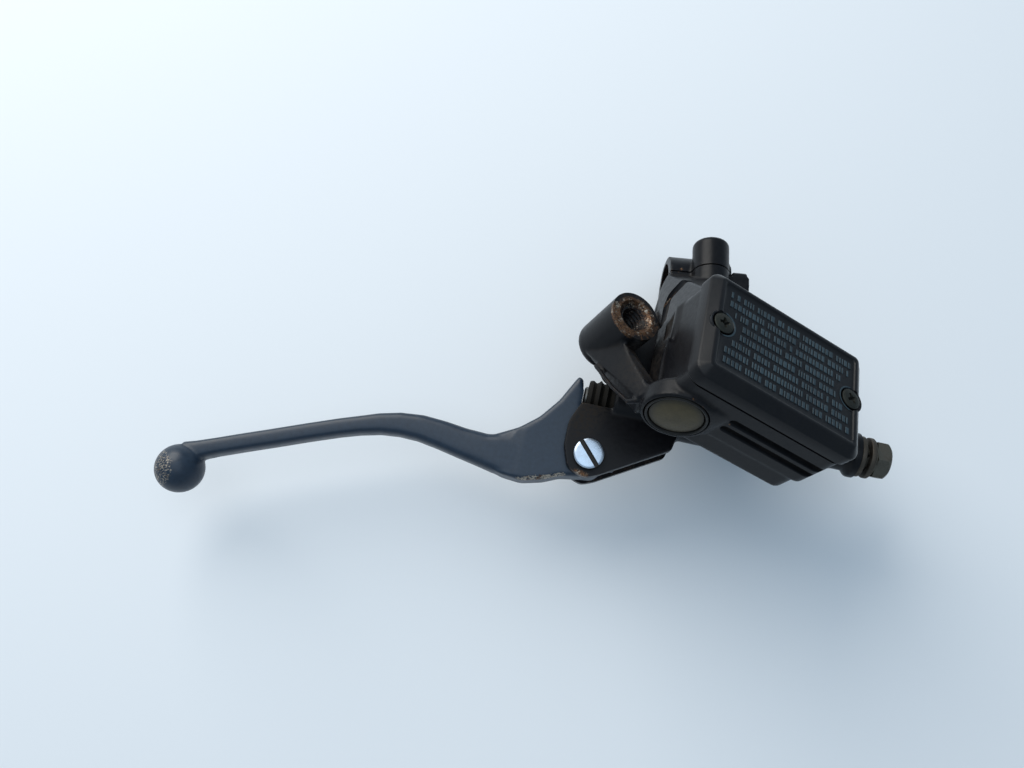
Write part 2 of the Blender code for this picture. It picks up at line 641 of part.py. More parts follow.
def make_spring():
    """A plain helix whose end coils lie nearly flat."""
    turns, wire, coil = 6.5, 0.7, 4.9
    low, length = 46.5, 30.4
    flat = 0.9  # turns at each end
    pitch_at_end = 0.11
    curve = bpy.data.curves.new("return_spring", "CURVE")
    curve.dimensions = "3D"
    curve.bevel_depth = wire * MM
    curve.bevel_resolution = 2
    curve.use_fill_caps = True
    spline = curve.splines.new("POLY")
    count = int(turns * 18)
    spline.points.add(count)
    for k, point in enumerate(spline.points):
        t = turns * k / count
        if t < flat:
            rise = t * pitch_at_end
        elif t > turns - flat:
            rise = 1 - (turns - t) * pitch_at_end
        else:
            rise = pitch_at_end * flat + (1 - 2 * pitch_at_end * flat) * (t - flat) / (turns - 2 * flat)
        angle = 2 * math.pi * t
        point.co = (coil * math.cos(angle) * MM, coil * math.sin(angle) * MM, (low + length * rise) * MM, 1)
    draft = bpy.data.objects.new("return_spring", curve)
    helpers.objects.link(draft)
    baked(draft, BORE, BRIGHT_ZINC, None)


# --- Hose union ----------------------------------------------------------------------------------


def make_union():
    for name, low in (("washer_body_side", UNION_FACE + GAP), ("washer_head_side", UNION_FACE + 4)):
        turned(name, [(low + 2, 5.3), (low + 2, 8.3), (low, 8.3), (low, 5.3)], BORE, COPPER)
    seat = UNION_FACE + 6 + GAP
    tip = seat - 17
    shank = BORE @ shift(0, 0, tip)
    profile = [(18, 0), (18, 7), (17, 7), (17, 4.7), (0.7, 4.7), (0, 4), (0, 0)]
    bolt = turned("union_bolt", profile, shank, DARK_STEEL)
    join(bolt, plate("head", hexagon(UNION_HEX, 12), 17.6, 23.4, shank))
    cut(bolt, turned("corners", [(24.5, 5.6), (24.5, 12), (20.5, 12), (20.5, 9.3), (23.4, 6.4)], shank))
    cut(bolt, rod("passage", -1, 13, 2, shank, steps=16))
    cut(bolt, rod("cross_hole", -6, 6, 1.3, PIVOT @ shift(UNION_FACE + 3, BORE_OFFSET, 0), steps=12))


make_body()
make_clamp()
make_lid()
make_seal()
make_tank_fittings()
make_lever()
make_pivot()
make_piston()
make_bore_fittings()
make_spring()
make_union()
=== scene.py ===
"""Looks of the brake master cylinder: fine castings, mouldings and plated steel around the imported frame.

Lengths are written in millimetres and turned into metres as each shape is made. +X runs inboard along
the bore, +Y towards the rider and +Z up the lever's pivot, with the origin on the handlebar's axis.
"""

import math
import random

import bmesh
import bpy
from mathutils import Matrix, Vector


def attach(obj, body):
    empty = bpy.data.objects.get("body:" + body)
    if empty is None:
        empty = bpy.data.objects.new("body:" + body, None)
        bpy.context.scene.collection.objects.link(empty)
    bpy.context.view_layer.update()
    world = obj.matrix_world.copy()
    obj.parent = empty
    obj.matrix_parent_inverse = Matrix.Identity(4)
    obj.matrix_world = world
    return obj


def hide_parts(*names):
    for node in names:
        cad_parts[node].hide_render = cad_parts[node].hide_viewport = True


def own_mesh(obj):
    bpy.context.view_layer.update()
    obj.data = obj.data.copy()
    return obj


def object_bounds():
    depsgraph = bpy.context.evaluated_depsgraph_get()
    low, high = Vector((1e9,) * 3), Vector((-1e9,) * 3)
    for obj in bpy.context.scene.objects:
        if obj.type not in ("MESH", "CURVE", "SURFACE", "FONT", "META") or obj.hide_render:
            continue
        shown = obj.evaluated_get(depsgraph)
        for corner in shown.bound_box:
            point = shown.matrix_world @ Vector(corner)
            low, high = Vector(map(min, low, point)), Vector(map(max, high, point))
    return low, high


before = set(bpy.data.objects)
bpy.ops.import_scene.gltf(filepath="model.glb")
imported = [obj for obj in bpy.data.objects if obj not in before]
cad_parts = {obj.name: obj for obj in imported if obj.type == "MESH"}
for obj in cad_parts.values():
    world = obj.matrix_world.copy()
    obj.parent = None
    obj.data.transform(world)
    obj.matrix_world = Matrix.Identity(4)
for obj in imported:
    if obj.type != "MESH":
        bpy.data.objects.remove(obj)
cad_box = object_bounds()

MM = 0.001
SIDES = 64  # of a fine round
VOXEL = 0.55  # of a casting's fused mesh, mm

# --- Sizes that several shapes share, mm and degrees ---------------------------------------------

BAR_YAW = 6.7
BAR_RADIUS = 11.15
HALF_CLAMP = 16.5
BOLT_REACH = 17  # from the bar's middle up and down to the clamp bolts
BORE_OFFSET = 25.3  # bore axis from the pivot axis
SLOT, CHEEK = 6.6, 10.6  # half the lever's slot, and out to the lugs' faces
UNION_FACE = 105.5
CAP_SCREW = 28.6  # either side of the lid's middle
LEVER_BALL = 9.75

# --- Frames, as the solids have them -------------------------------------------------------------


def shift(x, y, z):
    return Matrix.Translation(Vector((x, y, z)) * MM)


def turn(degrees, axis):
    return Matrix.Rotation(math.radians(degrees), 4, axis)


PIVOT = shift(-35.2, -84.7, 8.7)
BORE = PIVOT @ shift(0, BORE_OFFSET, 0) @ turn(90, "Y")
CLAMP = turn(BAR_YAW, "Z") @ turn(-7.7, "X")
ALONG_BAR = CLAMP @ turn(90, "Y")
ACROSS_BAR = CLAMP @ turn(90, "Y") @ turn(90, "Z")
BOLTS = [CLAMP @ shift(0, 0, z) @ turn(-90, "X") for z in (BOLT_REACH, -BOLT_REACH)]
TANK = PIVOT @ shift(58.6, 37.4, 53.4) @ turn(BAR_YAW, "Z")
TANK = TANK @ turn(-15.8, "X") @ turn(25.5, "Y") @ turn(-9.9, "Z")
CAP_SCREWS = [TANK @ shift(x, 0, 0) for x in (-CAP_SCREW, CAP_SCREW)]
MIRROR = TANK @ shift(-46.5, 11.7, -28)
SIGHT = TANK @ shift(-25.2, 0, -23.3) @ turn(90, "X")
WELL = PIVOT @ shift(40, BORE_OFFSET + 2.2, 0)

# --- Camera, floor and light ---------------------------------------------------------------------


def make_camera():
    camera = bpy.data.objects.new("camera", bpy.data.cameras.new("camera"))
    camera.data.lens = 29.97
    camera.data.sensor_width = 36
    camera.data.clip_start = 0.01
    right = Vector((0.9757, 0.2189, 0.0039))
    back = Vector((0.0546, -0.2605, 0.9639))
    up = back.cross(right)
    basis = Matrix((right, up, back)).transposed()
    camera.matrix_world = Matrix.Translation((-0.052, -0.1523, 0.3479)) @ basis.to_4x4()
    bpy.context.scene.collection.objects.link(camera)
    bpy.context.scene.camera = camera


def make_light(name, place, aim, size, power, colour):
    light = bpy.data.lights.new(name, "AREA")
    light.shape = "DISK"
    light.size = size
    light.energy = power
    light.color = colour
    lamp = bpy.data.objects.new(name, light)
    lamp.location = place
    lamp.rotation_euler = (Vector(aim) - Vector(place)).to_track_quat("-Z", "Y").to_euler()
    bpy.context.scene.collection.objects.link(lamp)


def make_stage():
    mesh = bpy.data.meshes.new("floor")
    bm = bmesh.new()
    bmesh.ops.create_grid(bm, x_segments=1, y_segments=1, size=20)
    bm.to_mesh(mesh)
    bm.free()
    floor = bpy.data.objects.new("floor", mesh)
    floor.location = (0, 0, cad_box[0][2] - 0.0006)
    bpy.context.scene.collection.objects.link(floor)
    mesh.materials.append(Look("paper", (0.77, 0.79, 0.81), 0.9).material)
    world = bpy.data.worlds.new("studio")
    bpy.context.scene.world = world
    world.use_nodes = True
    sky = world.node_tree.nodes["Background"].inputs
    sky["Color"].default_value = (0.6, 0.8, 1, 1)
    sky["Strength"].default_value = 0.46
    make_light("window", (-0.8, 0.65, 0.8), (-0.05, -0.02, 0), 1.2, 16.5, (1, 0.98, 0.93))
    make_light("ceiling", (-0.1, -0.1, 1.5), (0, 0, 0), 1.4, 5, (0.8, 0.9, 1))
    bpy.context.scene.view_settings.view_transform = "Standard"


# --- Materials -----------------------------------------------------------------------------------


class Look:
    """A material on one Principled shader, with short ways to make its nodes and join them."""

    def __init__(self, name, colour, roughness, gloss=None, metallic=0.0):
        self.material = bpy.data.materials.new(name)
        self.material.use_nodes = True
        self.nodes = self.material.node_tree.nodes
        self.links = self.material.node_tree.links
        self.shader = self.nodes["Principled BSDF"].inputs
        self.shader["Base Color"].default_value = (*colour, 1)
        self.shader["Roughness"].default_value = roughness
        self.shader["Metallic"].default_value = metallic
        if gloss is not None:
            self.shader["Specular IOR Level"].default_value = gloss

    def give(self, socket, value):
        """The socket takes a number, a colour or another node's output."""
        if isinstance(value, tuple):
            socket.default_value = (*value, 1)
        elif isinstance(value, (int, float)):
            socket.default_value = value
        else:
            self.links.new(value, socket)

    def noise(self, size_mm, detail=4, rough=0.55):
        """A noise in object space, its features about size_mm across."""
        texture = self.nodes.new("ShaderNodeTexNoise")
        texture.inputs["Scale"].default_value = 1 / (size_mm * MM)
        texture.inputs["Detail"].default_value = detail
        texture.inputs["Roughness"].default_value = rough
        self.give(texture.inputs["Vector"], self.nodes.new("ShaderNodeTexCoord").outputs["Object"])
        return texture.outputs["Fac"]

    def ramp(self, value, low, high, start=0.0, end=1.0):
        """The value from low to high taken to start to end."""
        node = self.nodes.new("ShaderNodeMapRange")
        names = ("Value", "From Min", "From Max", "To Min", "To Max")
        for name, given in zip(names, (value, low, high, start, end)):
            self.give(node.inputs[name], given)
        return node.outputs["Result"]

    def combined(self, operation, one, two):
        """The two values put together, kept between 0 and 1."""
        node = self.nodes.new("ShaderNodeMath")
        node.operation = operation
        node.use_clamp = True
        self.give(node.inputs[0], one)
        self.give(node.inputs[1], two)
        return node.outputs["Value"]

    def times(self, one, two):
        return self.combined("MULTIPLY", one, two)

    def larger(self, one, two):
        return self.combined("MAXIMUM", one, two)

    def mixed(self, factor, one, two):
        """Colour one where factor is 0 and colour two where it is 1."""
        node = self.nodes.new("ShaderNodeMix")
        node.data_type = "RGBA"
        self.give(node.inputs["Factor"], factor)
        self.give(node.inputs[6], one)
        self.give(node.inputs[7], two)
        return node.outputs[2]

    def bumped(self, heights):
        """Bumps stacked from (height output, depth in mm) pairs."""
        last = None
        for height, depth in heights:
            bump = self.nodes.new("ShaderNodeBump")
            bump.inputs["Distance"].default_value = depth * MM
            self.give(bump.inputs["Height"], height)
            if last:
                self.give(bump.inputs["Normal"], last)
            last = bump.outputs["Normal"]
        self.give(self.shader["Normal"], last)

    def mask(self, name):
        """What paint_mask put on the mesh under this name, and 0 on a mesh without it."""
        node = self.nodes.new("ShaderNodeAttribute")
        node.attribute_name = name
        return node.outputs["Fac"]

    def pointiness(self):
        return self.nodes.new("ShaderNodeNewGeometry").outputs["Pointiness"]


def painted(name, colour, roughness, gloss, dust=(0.016, 0.012, 0.009), grain=0.03, rusted=(0.36, 0.46)):
    """Paint over cast metal: orange peel, dust in the hollows, and bare or rusty metal where it is worn."""
    bare, light_rust, dark_rust = (0.36, 0.31, 0.25), (0.17, 0.085, 0.04), (0.045, 0.026, 0.018)
    look = Look(name, colour, roughness, gloss)
    patches = look.noise(14, 5)
    fine = look.noise(1.6, 6, 0.65)
    speckle = look.noise(0.7, 3)
    point = look.pointiness()
    dusty = look.times(look.ramp(point, 0.5, 0.44), look.ramp(patches, 0.35, 0.6))
    film = look.times(look.ramp(patches, 0.45, 0.8), 0.1)
    grime = look.times(look.mask("dirt"), look.ramp(fine, 0.35, 0.62))
    dirt = look.larger(look.larger(dusty, film), grime)
    rubbed = look.times(look.ramp(point, 0.54, 0.62), look.ramp(fine, 0.45, 0.6))
    chipped = look.times(look.mask("wear"), look.ramp(speckle, 0.25, 0.6))
    worn = look.larger(rubbed, look.ramp(chipped, 0.35, 0.5))
    tone = look.mixed(look.ramp(fine, 0.3, 0.7), colour, tuple(c * 1.5 for c in colour))
    rust = look.mixed(look.ramp(speckle, 0.4, 0.6), light_rust, dark_rust)
    metal = look.mixed(look.ramp(look.noise(2.2, 6, 0.75), *rusted), bare, rust)
    rough = look.ramp(fine, 0.3, 0.7, roughness - 0.06, roughness + 0.08)
    look.give(look.shader["Base Color"], look.mixed(worn, look.mixed(dirt, tone, dust), metal))
    look.give(look.shader["Roughness"], look.combined("ADD", rough, look.times(dirt, 0.4)))
    look.give(look.shader["Metallic"], look.times(worn, 0.6))
    look.bumped([(fine, grain), (look.noise(6, 3), grain * 2), (worn, -0.05)])
    return look.material


def plated(name, colour, roughness, dull=(0.2, 0.17, 0.13), amount=0.35, brushed=0.01):
    """Plated or bare metal with fine scratches and dull or rusty patches, and painted shade in black where
    the mesh's dirt mask is set.
    """
    painted_shade_black = (0.012, 0.011, 0.01)
    look = Look(name, colour, roughness, metallic=1.0)
    patches = look.noise(3.5, 6, 0.7)
    fine = look.noise(0.35, 4, 0.7)
    # Here the dirt mask is painted shade: black in the pivot bolt's slot and deep in the cap screws'
    # crosses.
    dirt = look.mask("dirt")
    stained = look.times(look.ramp(patches, 0.45, 0.7), amount)
    hollow = look.times(look.ramp(look.pointiness(), 0.49, 0.42), amount)
    stained = look.larger(look.larger(stained, hollow), dirt)
    rough = look.ramp(fine, 0.3, 0.7, roughness - 0.05, roughness + 0.1)
    look.give(look.shader["Base Color"], look.mixed(stained, colour, look.mixed(dirt, dull, painted_shade_black)))
    look.give(look.shader["Roughness"], look.combined("ADD", rough, look.times(stained, 0.4)))
    look.give(look.shader["Metallic"], look.ramp(stained, 0, 1, 1, 0.3))
    look.bumped([(fine, brushed), (patches, brushed * 2)])
    return look.material


def moulded(name, colour, roughness, gloss, grain=0.02, dust=(0.03, 0.026, 0.02), dusting=0.1):
    """Plastic or rubber with a moulded grain and a little dust. Its raised marks are paler."""
    mark_tone = (0.032, 0.052, 0.064)
    look = Look(name, colour, roughness, gloss)
    patches = look.noise(12, 5, 0.6)
    fine = look.noise(0.9, 5, 0.6)
    hollow = look.times(look.ramp(look.pointiness(), 0.5, 0.43), dusting * 1.6)
    dirt = look.larger(look.times(look.ramp(patches, 0.42, 0.75), dusting), hollow)
    tone = look.mixed(look.ramp(fine, 0.3, 0.7), colour, tuple(c * 1.4 for c in colour))
    marked = look.times(look.mask("raised"), look.ramp(patches, 0.3, 0.6, 0.45, 1))
    rough = look.ramp(fine, 0.3, 0.7, roughness - 0.05, roughness + 0.07)
    look.give(look.shader["Base Color"], look.mixed(marked, look.mixed(dirt, tone, dust), mark_tone))
    look.give(look.shader["Roughness"], look.combined("ADD", rough, look.times(dirt, 0.5)))
    look.bumped([(fine, grain), (patches, grain * 3)])
    return look.material


def lens_look():
    """Clouded window over brown fluid, darker at the rim."""
    brown, pale_brown, dark_brown = (0.046, 0.033, 0.013), (0.072, 0.053, 0.022), (0.022, 0.017, 0.009)
    look = Look("lens", (0.2, 0.16, 0.09), 0.32, 0.3)
    patches = look.noise(5, 4, 0.6)
    fine = look.noise(0.6, 4)
    tone = look.mixed(look.ramp(patches, 0.3, 0.7), brown, pale_brown)
    look.give(look.shader["Base Color"], look.mixed(look.mask("dirt"), tone, dark_brown))
    look.give(look.shader["Roughness"], look.ramp(fine, 0.3, 0.7, 0.4, 0.55))
    look.bumped([(fine, 0.01)])
    return look.material


# --- Mesh work -----------------------------------------------------------------------------------


def placed(name, bm, place, material=None):
    """The bmesh, in metres, as an object whose mesh lies where the frame says."""
    bm.transform(place)
    bmesh.ops.recalc_face_normals(bm, faces=bm.faces)
    mesh = bpy.data.meshes.new(name)
    bm.to_mesh(mesh)
    bm.free()
    obj = bpy.data.objects.new(name, mesh)
    bpy.context.scene.collection.objects.link(obj)
    if material:
        finish(obj, material)
    return obj


def finish(obj, material, sharp=34):
    obj.data.materials.clear()
    obj.data.materials.append(material)
    obj.data.shade_smooth()
    obj.data.set_sharp_from_angle(angle=math.radians(sharp))


def turned(name, profile, place, material=None, steps=SIDES):
    """A body turned about Z from (height, radius) points, from the axis to the axis or round a ring."""
    bm = bmesh.new()
    rings = []
    for height, radius in profile:
        count = steps if radius else 1
        angles = [2 * math.pi * k / steps for k in range(count)]
        ring = [(radius * MM * math.cos(a), radius * MM * math.sin(a), height * MM) for a in angles]
        rings.append([bm.verts.new(point) for point in ring])
    pairs = list(zip(rings, rings[1:]))
    if profile[0][1]:
        pairs.append((rings[-1], rings[0]))
    for one, two in pairs:
        for k in range(steps):
            after = (k + 1) % steps
            quad = [one[k % len(one)], one[after % len(one)], two[after % len(two)], two[k % len(two)]]
            corners = [v for i, v in enumerate(quad) if v not in quad[:i]]
            if len(corners) > 2:
                bm.faces.new(corners)
    return placed(name, bm, place, material)


def rod(name, low, high, radius, place, material=None, steps=SIDES, edge=0.0):
    """A rod along Z. Both its rims are rounded by the edge's radius."""
    rim = [(high, radius)]
    if edge:
        bends = [(1 - math.sin(a), 1 - math.cos(a)) for a in (math.pi / 2, math.pi / 4, 0)]
        rim = [(high - edge * down, radius - edge * inwards) for down, inwards in bends]
    foot = [(low + high - h, r) for h, r in reversed(rim)]
    return turned(name, [(high, 0), *rim, *foot, (low, 0)], place, material, steps)


def arc_profile(height, radius, bend, start, end, steps=5):
    """Profile points on a rounded edge about (height, radius), angles in degrees from +Z to outwards."""
    angles = [math.radians(start + (end - start) * k / steps) for k in range(steps + 1)]
    return [(height + bend * math.cos(a), radius + bend * math.sin(a)) for a in angles]


def rounded(corners, steps=8):
    """A closed outline from anticlockwise (x, y, radius) corners, each radius drawn as an arc."""
    points = []
    for i, (x, y, radius) in enumerate(corners):
        corner = Vector((x, y))
        if not radius:
            points.append(corner)
            continue
        back = (Vector(corners[i - 1][:2]) - corner).normalized()
        ahead = (Vector(corners[(i + 1) % len(corners)][:2]) - corner).normalized()
        half = back.angle(ahead) / 2
        centre = corner + (back + ahead).normalized() * (radius / math.sin(half))
        spoke = corner + back * (radius / math.tan(half)) - centre
        sweep = math.copysign(math.pi - 2 * half, back.x * ahead.y - back.y * ahead.x)
        for k in range(steps + 1):
            points.append(centre + Matrix.Rotation(-sweep * k / steps, 2) @ spoke)
    return points


def box_outline(width, depth, radius=0.0, centre=(0, 0), steps=8):
    x, y = centre
    signs = ((-1, -1), (1, -1), (1, 1), (-1, 1))
    return rounded([(x + sx * width / 2, y + sy * depth / 2, radius) for sx, sy in signs], steps)


def hexagon(across, phase=0):
    reach = across / math.sqrt(3)
    angles = [math.radians(60 * k + phase) for k in range(6)]
    return [Vector((reach * math.cos(a), reach * math.sin(a))) for a in angles]


def loft(name, sections, place, material=None):
    """A body through rings of equal count, closed at both ends."""
    bm = bmesh.new()
    rings = [[bm.verts.new(Vector(point) * MM) for point in section] for section in sections]
    for low, high in zip(rings, rings[1:]):
        for k in range(len(low)):
            after = (k + 1) % len(low)
            bm.faces.new((low[k], low[after], high[after], high[k]))
    bm.faces.new(rings[0])
    bm.faces.new(rings[-1])
    return placed(name, bm, place, material)


def stack(name, layers, place, material=None):
    """A loft straight up through (outline, height) layers."""
    return loft(name, [[(x, y, height) for x, y in outline] for outline, height in layers], place, material)


def plate(name, outline, low, high, place, material=None):
    return stack(name, [(outline, low), (outline, high)], place, material)


def hull(name, points):
    """The convex solid round the points, which are in metres and in the shared frame."""
    bm = bmesh.new()
    for point in points:
        bm.verts.new(point)
    found = bmesh.ops.convex_hull(bm, input=bm.verts)
    spare = found["geom_interior"] + found["geom_unused"]
    inside = {e for e in spare if isinstance(e, bmesh.types.BMVert)}
    bmesh.ops.delete(bm, geom=list(inside), context="VERTS")
    return placed(name, bm, Matrix.Identity(4))


def at(place, *points):
    """The frame's points, in millimetres, as points in metres in the shared frame."""
    return [place @ (Vector(point) * MM) for point in points]


def ring_points(place, radius, height, steps=40):
    angles = [2 * math.pi * k / steps for k in range(steps)]
    return at(place, *((radius * math.cos(a), radius * math.sin(a), height) for a in angles))


def bead(name, place, points, radius):
    """Round beads along a path, each a hull between two small balls."""
    made = []
    for one, two in zip(points, points[1:]):
        cloud = []
        for centre in (one, two):
            for axis in (0, 1, 2):
                for k in range(12):
                    a = 2 * math.pi * k / 12
                    off = [0, 0, 0]
                    off[axis], off[(axis + 1) % 3] = radius * math.cos(a), radius * math.sin(a)
                    cloud.append(Vector(centre) + Vector(off))
        made.append(hull(name, at(place, *cloud)))
    return made


def applied(obj):
    """Takes the object's modifiers into its mesh."""
    bpy.context.view_layer.update()
    mesh = bpy.data.meshes.new_from_object(obj.evaluated_get(bpy.context.evaluated_depsgraph_get()))
    obj.modifiers.clear()
    obj.data = mesh
    return obj


def joined(name, parts):
    """The parts' meshes in one object, still overlapping."""
    bm = bmesh.new()
    for part in parts:
        bm.from_mesh(part.data)
        bpy.data.objects.remove(part, do_unlink=True)
    return placed(name, bm, Matrix.Identity(4))


def cast(name, parts, voxel, passes):
    """Overlapping shapes fused as a casting is, with their edges and inner corners rounded."""
    obj = joined(name, parts)
    remesh = obj.modifiers.new("fuse", "REMESH")
    remesh.mode = "VOXEL"
    remesh.voxel_size = voxel * MM
    smooth = obj.modifiers.new("round", "SMOOTH")
    smooth.factor = 0.5
    smooth.iterations = passes
    return applied(obj)


def boolean(target, others, operation="DIFFERENCE", solver="MANIFOLD"):
    for other in others:
        modifier = target.modifiers.new(other.name, "BOOLEAN")
        modifier.operation = operation
        modifier.solver = solver
        modifier.object = other
    applied(target)
    for other in others:
        bpy.data.objects.remove(other, do_unlink=True)
    return target


def bevelled(obj, width, segments=2, angle=35):
    bevel = obj.modifiers.new("edges", "BEVEL")
    bevel.width = width * MM
    bevel.segments = segments
    bevel.limit_method = "ANGLE"
    bevel.angle_limit = math.radians(angle)
    bevel.use_clamp_overlap = True
    return applied(obj)


def paint_mask(obj, name, rule):
    """A soft mask on the mesh, from a rule of each point's place."""
    layer = obj.data.attributes.new(name, "FLOAT", "POINT")
    layer.data.foreach_set("value", [rule(v.co) for v in obj.data.vertices])


def stands_for(piece, node, body):
    """The piece moves with the body and takes the place of the CAD node."""
    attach(piece, body)
    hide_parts(node)


# --- Cast body -----------------------------------------------------------------------------------


def threaded(name, low, high, radius, depth, pitch, place, steps=40):
    """A cutter for a tapped hole: its wall is a helical ridge."""
    bm = bmesh.new()
    levels = int((high - low) / pitch * 8)
    rings = []
    for level in range(levels + 1):
        height = low + (high - low) * level / levels
        ring = []
        for k in range(steps):
            phase = (height / pitch - k / steps) % 1
            reach = (radius + depth * abs(2 * phase - 1)) * MM
            angle = 2 * math.pi * k / steps
            ring.append(bm.verts.new((reach * math.cos(angle), reach * math.sin(angle), height * MM)))
        rings.append(ring)
    for one, two in zip(rings, rings[1:]):
        for k in range(steps):
            after = (k + 1) % steps
            bm.faces.new((one[k], one[after], two[after], two[k]))
    bm.faces.new(rings[0])
    bm.faces.new(rings[-1])
    return placed(name, bm, place)


def lug_outline():
    return rounded(
        [(31.5, 8.7, 2), (34, 20.3, 1), (-6.6, 20.3, 1.5), (-10.2, 12, 10), (-10.2, 2, 8), (-7.3, -6.5, 5),
         (0, -9.4, 6), (5.5, -7, 4)]
    )


def half_ring(radius, width, side, start, steps=40):
    angles = [math.pi * k / steps for k in range(1, steps)]
    arc = [Vector((side * max(start, width * math.sin(a)), radius * math.cos(a))) for a in angles]
    return [Vector((side * start, radius)), *arc, Vector((side * start, -radius))]


def body_shapes():
    cylinder = turned(
        "cylinder",
        [(106.5, 0), (106.5, 9.2), (103.1, 9.2), (101.5, 7.2), (97, 7.2), (89, 9.7), (35, 9.7),
         (31, 12.8), (6.7, 12.8), (6, 12.1), (6, 0)],
        BORE,
    )
    upper_walls = box_outline(67, 47, 4.8)
    tank_top = stack(
        "tank_top",
        [(box_outline(65.6, 45.6, 4.2), -25.7), (upper_walls, -25), (upper_walls, -5)],
        TANK,
    )
    lower_walls = box_outline(64.5, 45.5, 5, (-1, -0.5))
    tank_low = stack(
        "tank_low",
        [(box_outline(62.5, 43.5, 4, (-1, -0.5)), -34.8), (lower_walls, -33.6), (lower_walls, -20)],
        TANK,
    )
    sight_boss = rod("sight_boss", 17.5, 25.2, 12.8, SIGHT, edge=0.6)
    mirror_boss = turned(
        "mirror_boss",
        [(1.2, 0), (1.2, 10), (-23.5, 10), *arc_profile(-23.5, 6.5, 3.5, 90, 180), (-27, 0)],
        MIRROR,
    )
    flank = hull(
        "flank",
        at(TANK, (-54.5, 6.5, -52), (-47, 2.2, -33.5), (-43, 3.5, -34), (-43, 8, -54),
           (-37.4, -21.5, -22.5), (-39.2, -22.5, -27), (-35, -23.8, -34.5), (-33.2, -16.5, -25),
           (-31, -20.5, -36.5)),
    )
    ribs = [
        *bead("upper_rib", TANK, [(-46.4, 1.6, -33.2), (-39.6, -8, -29.1), (-33.4, -16.6, -25.4)], 0.9),
        *bead("rib_end", TANK, [(-33.6, -15.8, -25.6), (-33.2, -17, -25.2)], 1.6),
        *bead("lower_lip", TANK, [(-49.6, -4, -45.6), (-44.3, -15.8, -37.7), (-40.2, -22.6, -32)], 0.9),
        *bead("lip_end", TANK, [(-40.2, -22.6, -32), (-38.6, -22.9, -28.6)], 1.1),
        *bead("corner_rib", TANK, [(-33.4, -17, -25.3), (-33.4, 2, -25.3)], 0.8),
    ]
    front_wall = at(TANK, *((x, -23.3, z) for x in (-10, -22) for z in (-12, -24.8)))
    sight_blend = hull("sight_blend", ring_points(SIGHT, 12.2, 24.8) + front_wall)
    pocket_floor = plate(
        "pocket_floor",
        rounded([(0, 31, 2), (14, 22, 2), (44, 22, 4), (46, 62, 4), (18, 64, 5), (-4, 47, 5), (-6, 39, 4)]),
        8, 17, PIVOT,
    )
    riser = hull(
        "riser",
        ring_points(WELL, 10.6, 2) + ring_points(WELL @ shift(2, 0.5, 0), 12.6, 32)
        + at(PIVOT, (70, 17, 2), (70, 36, 2), (68, 18, 20), (68, 38, 20)),
    )
    rim = [(-17.5, -1.5, 15), (-20, -8, 17), (-21.5, -15, 18)]
    below_bar = [(x, y, z) for x in (-HALF_CLAMP, HALF_CLAMP) for y, z in ((-13, -13), (-4, -16))]
    arm = hull(
        "arm",
        at(CLAMP, *rim, *below_bar, (HALF_CLAMP, -13, 14), (HALF_CLAMP, -4, 16))
        + at(PIVOT, (13, 44, 16), (13, 40, -5), (52, 40, 14), (52, 36, -7),
             (16, 28, 13), (14, 27, -6), (48, 30, -8), (48, 30, 10)),
    )
    gusset = hull(
        "gusset",
        at(CLAMP, *rim, (-22.5, -24, 18), (4, -1.5, 16), (4, -24, 16))
        + at(TANK, (-34.3, 3, -21), (-34.3, 19, -20.5), (-31, 24, -10), (-18, 23.4, -9), (-20, 5, -30)),
    )
    clamp_lug = plate("clamp_lug", box_outline(7.6, 5, 2.4, (-0.8, 13.8)), 9.5, 15.8, ACROSS_BAR)
    saddle = plate("saddle", half_ring(16.6, 16.6, -1, 0), -HALF_CLAMP, HALF_CLAMP, ACROSS_BAR)
    bosses = [rod("bolt_boss", -14, 0.5, 7.6, place) for place in BOLTS]
    lugs = plate("lugs", lug_outline(), -CHEEK, CHEEK, PIVOT)
    return [
        cylinder, tank_top, tank_low, sight_boss, sight_blend, mirror_boss, flank, *ribs, pocket_floor,
        riser, arm, gusset, saddle, clamp_lug, lugs, *bosses,
    ]


